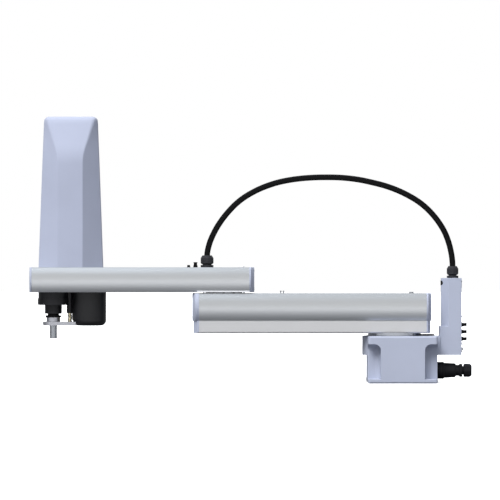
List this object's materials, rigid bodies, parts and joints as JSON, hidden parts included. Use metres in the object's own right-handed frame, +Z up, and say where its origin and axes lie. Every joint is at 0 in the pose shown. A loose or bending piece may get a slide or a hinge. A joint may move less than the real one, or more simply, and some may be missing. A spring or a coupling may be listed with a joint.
{
  "type": "four-axis horizontal articulated robot arm",
  "caption": "Four-axis horizontal robot arm: cast base, two stacked arms, a lifting and turning spindle under a tall cover, and an arched cable conduit.",
  "frame": {"origin": "where the first joint's axis meets the base's mounting face", "axes": "+Z up along the first joint's axis, +X from the spindle towards the base and its rear connectors, +Y to the left when looking along +X"},
  "size_m": [1.5525, 0.244, 0.9355],
  "materials": {
    "painted_casting": "satin",
    "extruded_aluminium": "satin",
    "machined_aluminium": "satin",
    "ground_steel": "ground",
    "dark_screws": "satin",
    "black_plastic": "matte",
    "motor_enamel": "satin",
    "black_rubber": "matte"
  },
  "bodies": {
    "base": {"base_casting": "painted_casting", "base_bottom_cover": "machined_aluminium", "j1_motor": "motor_enamel", "j1_bearing_ring": "ground_steel", "j1_circular_spline": "ground_steel", "cable_post": "painted_casting", "post_rear_panel": "painted_casting", "post_screws": "dark_screws", "base_air_ports": "black_plastic", "base_user_connector": "black_plastic", "base_gland_body": "black_plastic", "base_gland_nut": "black_plastic", "robot_connector_socket": "black_plastic", "robot_connector_shell": "black_plastic", "robot_connector_nut": "black_plastic", "conduit_base_span": "black_rubber"},
    "first_arm": {"j1_flexspline": "ground_steel", "j1_output_hub": "machined_aluminium", "arm1_lower_beam": "extruded_aluminium", "arm1_extrusion": "extruded_aluminium", "arm1_front_cap": "painted_casting", "arm1_rear_cap": "painted_casting", "arm1_lower_caps": "painted_casting", "arm1_cap_screws": "dark_screws", "arm1_hub_screws": "dark_screws", "arm1_top_fittings": "black_plastic", "j2_motor": "motor_enamel", "j2_bearing_ring": "ground_steel", "j2_ring_screws": "dark_screws", "j2_circular_spline": "ground_steel"},
    "second_arm": {"j2_flexspline": "ground_steel", "j2_output_hub": "machined_aluminium", "arm2_extrusion": "extruded_aluminium", "arm2_front_cap": "painted_casting", "arm2_rear_cap": "painted_casting", "arm2_cap_screws": "dark_screws", "arm2_grease_plug": "machined_aluminium", "arm_air_ports": "black_plastic", "arm_user_connector": "black_plastic", "arm_gland_body": "black_plastic", "arm_gland_nut": "black_plastic", "spindle_cover": "painted_casting", "lift_motor_cover": "black_plastic", "lift_motor": "motor_enamel", "turn_motor": "motor_enamel", "turn_belt": "black_rubber", "lift_belt": "black_rubber", "spindle_housing": "motor_enamel", "spindle_bearings": "ground_steel", "conduit_arm_span": "black_rubber"},
    "lift": {"lift_plate": "machined_aluminium", "lift_bumper": "black_rubber", "lift_screw": "ground_steel"},
    "spindle": {"spline_shaft": "ground_steel"},
    "first_wave": {"j1_wave_generator": "ground_steel"},
    "second_wave": {"j2_wave_generator": "ground_steel"},
    "lift_nut": {"ball_nut": "ground_steel"},
    "lift_pulley": {"lift_motor_pulley": "ground_steel"},
    "turn_nut": {"spline_nut": "ground_steel"},
    "turn_pulley": {"turn_motor_pulley": "ground_steel"}
  },
  "joints": [
    {"name": "j1", "type": "hinge", "parent": "base", "child": "first_arm", "pos_m": [0, 0, 0.1755], "axis": [0, 0, 1], "range_deg": [-125, 125], "deforming": ["conduit_base_span"]},
    {"name": "j2", "type": "hinge", "parent": "first_arm", "child": "second_arm", "pos_m": [-0.6, 0, 0.3185], "axis": [0, 0, 1], "range_deg": [-145, 145], "deforming": ["conduit_arm_span"]},
    {"name": "lift", "type": "slide", "parent": "second_arm", "child": "lift", "axis": [0, 0, -1], "range_m": [0, 0.4]},
    {"name": "turn", "type": "hinge", "parent": "lift", "child": "spindle", "pos_m": [-1.2, 0, 0.2025], "axis": [0, 0, 1], "range_deg": [-180, 180]},
    {"name": "j1_wave_turn", "type": "hinge", "parent": "base", "child": "first_wave", "pos_m": [0, 0, 0.12], "axis": [0, 0, 1], "range_deg": [-6300, 6300]},
    {"name": "j2_wave_turn", "type": "hinge", "parent": "first_arm", "child": "second_wave", "pos_m": [-0.6, 0, 0.2645], "axis": [0, 0, 1], "range_deg": [-7300, 7300]},
    {"name": "ball_nut_turn", "type": "hinge", "parent": "second_arm", "child": "lift_nut", "pos_m": [-1.142, 0, 0.3385], "axis": [0, 0, 1], "range_deg": [-10, 7210]},
    {"name": "lift_pulley_turn", "type": "hinge", "parent": "second_arm", "child": "lift_pulley", "pos_m": [-1.07225, 0, 0.3385], "axis": [0, 0, 1], "range_deg": [-10, 10540]},
    {"name": "spline_nut_turn", "type": "hinge", "parent": "second_arm", "child": "turn_nut", "pos_m": [-1.2, 0, 0.3735], "axis": [0, 0, 1], "range_deg": [-181, 181]},
    {"name": "turn_pulley_turn", "type": "hinge", "parent": "second_arm", "child": "turn_pulley", "pos_m": [-1.078, 0, 0.3735], "axis": [0, 0, 1], "range_deg": [-372, 372]}
  ],
  "couplings": [
    {"joint": "j1_wave_turn", "follows": "j1", "ratio": -50},
    {"joint": "j2_wave_turn", "follows": "j2", "ratio": -50},
    {"joint": "ball_nut_turn", "follows": "lift", "rad_per_m": 314.16},
    {"joint": "lift_pulley_turn", "follows": "lift", "rad_per_m": 459.16},
    {"joint": "spline_nut_turn", "follows": "turn", "ratio": 1},
    {"joint": "turn_pulley_turn", "follows": "turn", "ratio": 2.0588}
  ]
}
